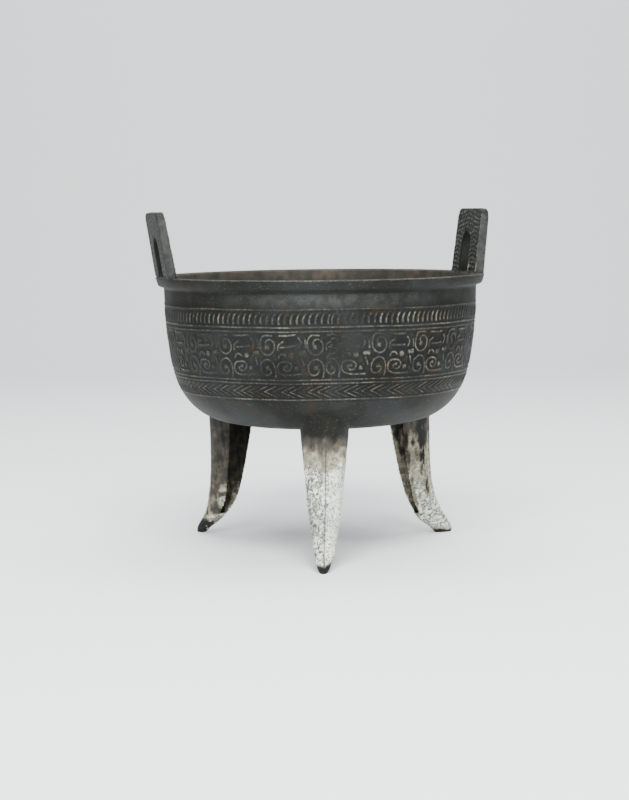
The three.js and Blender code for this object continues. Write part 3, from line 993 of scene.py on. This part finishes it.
layers = (
    # name, the colour below, how much is covered, the colour laid over it
    ("skin", "#161713", "greyer", "#222524"),
    ("skin", "skin", "browner", "#272219"),
    ("skin", "skin", "specks", "#5a584e"),
    # painted shade in the grooves and between the granules
    ("skin", "skin", "sunk_shade", "#0b0b09"),
    # paler where the raised lines are rubbed, and painted highlights on the lip's edge and the handles'
    # corners
    ("rubbed_and_highlit_skin", "#717570", "tawny", "#938c78"),
    ("skin", "skin", "rubbed_and_highlit_tops", "rubbed_and_highlit_skin"),
    # painted sheen on the neck and painted highlights on the handles' ends
    ("skin", "skin", "streaked_sheen", "#6d706e"),
    ("earth", "#302f2b", "dry_earth", "#443f38"),
    ("earth", "earth", "red_earth", "#5a4f42"),
    ("skin", "skin", "inside", "earth"),
    # painted shade in the legs' hollows
    ("skin", "skin", "hollow_shade", "#2d2820"),
    ("brown", "#44423c", "rusty", "#5f564b"),
    ("tan", "#7d7869", "light_sand", "#aca58f"),
    ("lime", "#f6f4e6", "greenish", "#cbd5ca"),
    # painted shade in the dips between the crust's lumps
    ("lime", "lime", "dips", "#8b8f84"),
    ("lime", "lime", "gaps", "#565a51"),
    ("skin", "skin", "brown_cover", "brown"),
    ("skin", "skin", "tan_cover", "tan"),
    ("skin", "skin", "lime_cover", "lime"),
    ("skin", "skin", "pitted", "#4b4b43"),
    # painted shadow line beside the parting ridge, and the dark chip
    ("skin", "skin", "parting_shadow_and_chip", "#3c3b34"),
)
for name, below, cover_name, above in layers:
    under, over = (value[key] if key in value else linear(key) for key in (below, above))
    mix = add(bronze, "ShaderNodeMix", {"data_type": "RGBA"}, i0=value[cover_name], i6=under, i7=over)
    value[name] = mix.outputs[2]
relief = add(bronze, "ShaderNodeBump", Height=value["grain"], Strength=0.5, Distance=0.12 * mm)
shader = bronze.node_tree.nodes["Principled BSDF"]
shader.inputs["Specular IOR Level"].default_value = 0.2
bronze.node_tree.links.new(value["skin"], shader.inputs["Base Color"])
bronze.node_tree.links.new(value["metal"], shader.inputs["Metallic"])
bronze.node_tree.links.new(value["matt"], shader.inputs["Roughness"])
bronze.node_tree.links.new(relief.outputs[0], shader.inputs["Normal"])

ding.data.materials.clear()
ding.data.materials.append(bronze)
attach(ding, "root")
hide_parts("ding")


# ---- Floor and light ----
# A pale matt sheet that curves up behind the vessel, under large soft lamps and an even pale sky.
sheet_front, sheet_back, sheet_bend, sheet_top = -1.6, 1.2, 0.6, 2.2
sheet_width = 4.4


def sweep_sheet():
    """The sheet: flat under the vessel, then bent up in a quarter round, extruded to its width."""
    bm = bmesh.new()
    profile = [(sheet_front, 0), (sheet_back, 0)]
    for turn in np.linspace(0.15, math.pi / 2, 10):
        profile.append((sheet_back + sheet_bend * math.sin(turn), sheet_bend * (1 - math.cos(turn))))
    profile.append((sheet_back + sheet_bend, sheet_top))
    verts = [bm.verts.new((-sheet_width / 2, y, z)) for y, z in profile]
    edges = [bm.edges.new(pair) for pair in zip(verts, verts[1:])]
    made = bmesh.ops.extrude_edge_only(bm, edges=edges)["geom"]
    moved = [item for item in made if isinstance(item, bmesh.types.BMVert)]
    bmesh.ops.translate(bm, verts=moved, vec=(sheet_width, 0, 0))
    bmesh.ops.recalc_face_normals(bm, faces=bm.faces)
    sheet = new_object("floor", bm)
    for polygon in sheet.data.polygons:
        polygon.use_smooth = True
    return sheet


# Seamless studio paper: matt and almost white, so it gives soft shadows and no reflection.
paper = bpy.data.materials.new("matt_paper")
paper.use_nodes = True
paper.node_tree.nodes["Principled BSDF"].inputs["Base Color"].default_value = linear("#f3f6f7")
paper.node_tree.nodes["Principled BSDF"].inputs["Roughness"].default_value = 0.9

floor = sweep_sheet()
floor.data.materials.append(paper)


def lamp(name, place, target, size, watts):
    """A rectangular soft lamp that points at its target."""
    data = bpy.data.lights.new(name, "AREA")
    data.shape = "RECTANGLE"
    data.size, data.size_y = size
    data.energy = watts
    light = bpy.data.objects.new(name, data)
    light.location = place
    light.rotation_euler = (Vector(target) - Vector(place)).to_track_quat("-Z", "Y").to_euler()
    bpy.context.collection.objects.link(light)


# name, place, target and size in metres, watts
lamp("front_softbox", (0, -1.15, 1.25), (0, 0, 0.08), (1.2, 0.9), 66)
lamp("top_softbox", (0.1, 0.2, 1.5), (0, 0, 0), (1.5, 1.2), 34)
lamp("left_softbox", (-1.5, -0.6, 0.9), (0, 0, 0.12), (0.7, 1.0), 1.5)
lamp("right_softbox", (1.5, -0.6, 0.9), (0, 0, 0.12), (0.7, 1.0), 2.5)

sky = bpy.data.worlds.new("pale_sky")
sky.use_nodes = True
sky.node_tree.nodes["Background"].inputs["Color"].default_value = linear("#dfe5ea")
sky.node_tree.nodes["Background"].inputs["Strength"].default_value = 0.3
bpy.context.scene.world = sky
